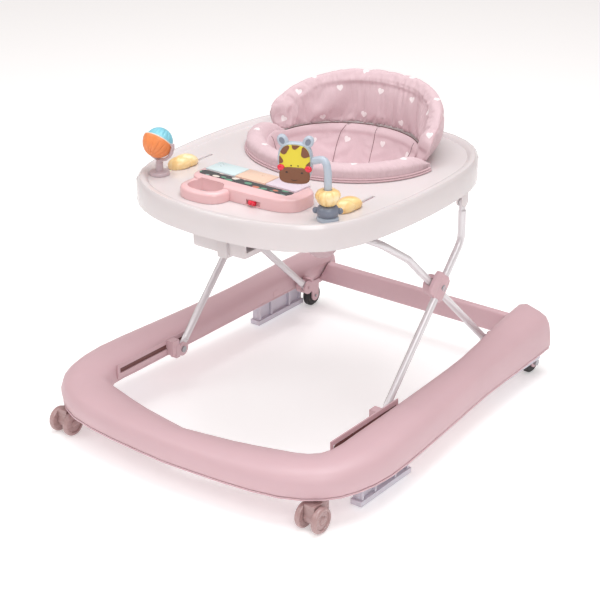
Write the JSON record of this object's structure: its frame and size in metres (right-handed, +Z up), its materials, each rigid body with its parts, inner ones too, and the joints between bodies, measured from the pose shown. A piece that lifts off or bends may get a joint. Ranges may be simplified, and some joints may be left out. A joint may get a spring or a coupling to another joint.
{
  "type": "folding baby walker",
  "caption": "Folding baby walker: horseshoe base on casters and rear wheels, scissor tube legs, play tray with toys and a padded bucket seat.",
  "frame": {"origin": "on the floor, at the middle of the walker's length and width", "axes": "+Z up, -Y the front of the walker, the way the child faces, and +X the child's left hand"},
  "size_m": [0.6104, 0.7229, 0.5389],
  "materials": {
    "pink_plastic": "satin",
    "white_plastic": "glossy, faintly pearly",
    "lilac_plastic": "satin",
    "tube_paint": "satin pearl paint",
    "steel": "bright",
    "black_rubber": "matte",
    "pink_fabric": "soft woven",
    "red_plastic": "glossy",
    "orange_plastic": "satin",
    "blue_plastic": "satin",
    "peach_plastic": "satin",
    "pale_blue_plastic": "satin",
    "yellow_plastic": "satin",
    "grey_blue_plastic": "satin"
  },
  "bodies": {
    "base": {"base_upper_shell": "pink_plastic", "base_lower_shell": "pink_plastic", "rear_crossbar": "pink_plastic", "slide_rail_left": "pink_plastic", "rear_leg_bracket_left": "pink_plastic", "rear_wheel_bracket_left": "pink_plastic", "rear_axle_left": "steel", "slide_rail_right": "pink_plastic", "rear_leg_bracket_right": "pink_plastic", "rear_wheel_bracket_right": "pink_plastic", "rear_axle_right": "steel"},
    "cross_leg": {"cross_leg_frame": "tube_paint", "joint_cover_inner_left": "pink_plastic", "joint_cover_inner_right": "pink_plastic"},
    "upright_legs": {"upright_leg_left": "tube_paint", "joint_cover_outer_left": "pink_plastic", "joint_pin_left": "steel", "upright_leg_right": "tube_paint", "joint_cover_outer_right": "pink_plastic", "joint_pin_right": "steel"},
    "sliders": {"slider_bracket_left": "pink_plastic", "slider_pin_left": "steel", "slider_bracket_right": "pink_plastic", "slider_pin_right": "steel"},
    "tray_and_seat": {"tray": "white_plastic", "height_adjuster_housing": "white_plastic", "tray_leg_bracket_left": "white_plastic", "tray_leg_bracket_right": "white_plastic", "seat_back_cushion": "pink_fabric", "seat_ring_cushion": "pink_fabric", "seat_sling": "pink_fabric", "music_panel_housing": "pink_plastic", "globe_stand": "lilac_plastic", "giraffe_stand": "grey_blue_plastic"},
    "caster_left": {"caster_housing_left": "pink_plastic", "caster_axle_left": "steel"},
    "caster_wheel_left_inner": {"caster_wheel_left_inner": "pink_plastic"},
    "caster_wheel_left_outer": {"caster_wheel_left_outer": "pink_plastic"},
    "rear_wheel_left": {"rear_wheel_left": "black_rubber"},
    "brake_pad_front_left": {"brake_pad_front_left": "lilac_plastic"},
    "brake_pad_rear_left": {"brake_pad_rear_left": "lilac_plastic"},
    "slider_toy_left": {"slider_toy_left": "yellow_plastic"},
    "caster_right": {"caster_housing_right": "pink_plastic", "caster_axle_right": "steel"},
    "caster_wheel_right_inner": {"caster_wheel_right_inner": "pink_plastic"},
    "caster_wheel_right_outer": {"caster_wheel_right_outer": "pink_plastic"},
    "rear_wheel_right": {"rear_wheel_right": "black_rubber"},
    "brake_pad_front_right": {"brake_pad_front_right": "lilac_plastic"},
    "brake_pad_rear_right": {"brake_pad_rear_right": "lilac_plastic"},
    "slider_toy_right": {"slider_toy_right": "yellow_plastic"},
    "globe_ball": {"globe_shell_blue": "blue_plastic", "globe_shell_orange": "orange_plastic"},
    "giraffe_bead": {"giraffe_bead": "yellow_plastic"},
    "giraffe_head": {"giraffe_head": "grey_blue_plastic"},
    "music_key_1": {"music_key_1": "pale_blue_plastic"},
    "music_key_2": {"music_key_2": "peach_plastic"},
    "music_key_3": {"music_key_3": "lilac_plastic"},
    "power_switch": {"power_switch": "red_plastic"}
  },
  "joints": [
    {"name": "rear_leg_fold", "type": "hinge", "parent": "base", "child": "cross_leg", "pos_m": [0, 0.263, 0.073], "axis": [1, 0, 0], "range_deg": [0, 25]},
    {"name": "leg_crossing", "type": "hinge", "parent": "cross_leg", "child": "upright_legs", "pos_m": [0, 0.0827, 0.2406], "axis": [1, 0, 0], "range_deg": [-53, 0]},
    {"name": "slider_pivot", "type": "hinge", "parent": "upright_legs", "child": "sliders", "pos_m": [0, -0.075, 0.0735], "axis": [1, 0, 0], "range_deg": [0, 28]},
    {"name": "tray_pivot", "type": "hinge", "parent": "upright_legs", "child": "tray_and_seat", "pos_m": [0, 0.141, 0.37], "axis": [1, 0, 0], "range_deg": [0, 36]},
    {"name": "caster_swivel_left", "type": "hinge", "parent": "base", "child": "caster_left", "pos_m": [0.25, -0.294, 0.06], "axis": [0, 0, 1], "continuous": true},
    {"name": "caster_roll_left_inner", "type": "hinge", "parent": "caster_left", "child": "caster_wheel_left_inner", "pos_m": [0.25, -0.312, 0.021], "axis": [1, 0, 0], "continuous": true},
    {"name": "caster_roll_left_outer", "type": "hinge", "parent": "caster_left", "child": "caster_wheel_left_outer", "pos_m": [0.25, -0.312, 0.021], "axis": [1, 0, 0], "continuous": true},
    {"name": "rear_roll_left", "type": "hinge", "parent": "base", "child": "rear_wheel_left", "pos_m": [0.238, 0.338, 0.021], "axis": [1, 0, 0], "continuous": true},
    {"name": "brake_pad_front_left_lift", "type": "slide", "parent": "base", "child": "brake_pad_front_left", "axis": [0, 0, 1], "range_m": [0, 0.032]},
    {"name": "brake_pad_rear_left_lower", "type": "slide", "parent": "base", "child": "brake_pad_rear_left", "axis": [0, 0, -1], "range_m": [0, 0.032]},
    {"name": "slider_toy_left", "type": "slide", "parent": "tray_and_seat", "child": "slider_toy_left", "axis": [0, 1, 0], "range_m": [0, 0.06]},
    {"name": "caster_swivel_right", "type": "hinge", "parent": "base", "child": "caster_right", "pos_m": [-0.25, -0.294, 0.06], "axis": [0, 0, 1], "continuous": true},
    {"name": "caster_roll_right_inner", "type": "hinge", "parent": "caster_right", "child": "caster_wheel_right_inner", "pos_m": [-0.25, -0.312, 0.021], "axis": [1, 0, 0], "continuous": true},
    {"name": "caster_roll_right_outer", "type": "hinge", "parent": "caster_right", "child": "caster_wheel_right_outer", "pos_m": [-0.25, -0.312, 0.021], "axis": [1, 0, 0], "continuous": true},
    {"name": "rear_roll_right", "type": "hinge", "parent": "base", "child": "rear_wheel_right", "pos_m": [-0.238, 0.338, 0.021], "axis": [1, 0, 0], "continuous": true},
    {"name": "brake_pad_front_right_lower", "type": "slide", "parent": "base", "child": "brake_pad_front_right", "axis": [0, 0, -1], "range_m": [0, 0.032]},
    {"name": "brake_pad_rear_right_lift", "type": "slide", "parent": "base", "child": "brake_pad_rear_right", "axis": [0, 0, 1], "range_m": [0, 0.032]},
    {"name": "slider_toy_right", "type": "slide", "parent": "tray_and_seat", "child": "slider_toy_right", "axis": [0, 1, 0], "range_m": [0, 0.06]},
    {"name": "globe_spin", "type": "hinge", "parent": "tray_and_seat", "child": "globe_ball", "pos_m": [-0.1645, -0.16, 0.474], "axis": [1, 0, 0], "continuous": true},
    {"name": "giraffe_bead_spin", "type": "hinge", "parent": "tray_and_seat", "child": "giraffe_bead", "pos_m": [0.1625, -0.16, 0.455], "axis": [0, 0, 1], "continuous": true},
    {"name": "giraffe_head_nod", "type": "hinge", "parent": "tray_and_seat", "child": "giraffe_head", "pos_m": [0.134, -0.16, 0.506], "axis": [1, 0, 0], "range_deg": [-40, 40]},
    {"name": "music_key_1_press", "type": "slide", "parent": "tray_and_seat", "child": "music_key_1", "axis": [0, 0, -1], "range_m": [0, 0.003], "stiffness_N_per_m": 600, "springref_m": -0.001},
    {"name": "music_key_2_press", "type": "slide", "parent": "tray_and_seat", "child": "music_key_2", "axis": [0, 0, -1], "range_m": [0, 0.003], "stiffness_N_per_m": 600, "springref_m": -0.001},
    {"name": "music_key_3_press", "type": "slide", "parent": "tray_and_seat", "child": "music_key_3", "axis": [0, 0, -1], "range_m": [0, 0.003], "stiffness_N_per_m": 600, "springref_m": -0.001},
    {"name": "power_switch_slide", "type": "slide", "parent": "tray_and_seat", "child": "power_switch", "axis": [1, 0, 0], "range_m": [0, 0.008]}
  ],
  "couplings": [
    {"joint": "leg_crossing", "follows": "rear_leg_fold", "ratio": -2.106},
    {"joint": "slider_pivot", "follows": "rear_leg_fold", "ratio": 1.106},
    {"joint": "tray_pivot", "follows": "rear_leg_fold", "ratio": 1.406}
  ]
}
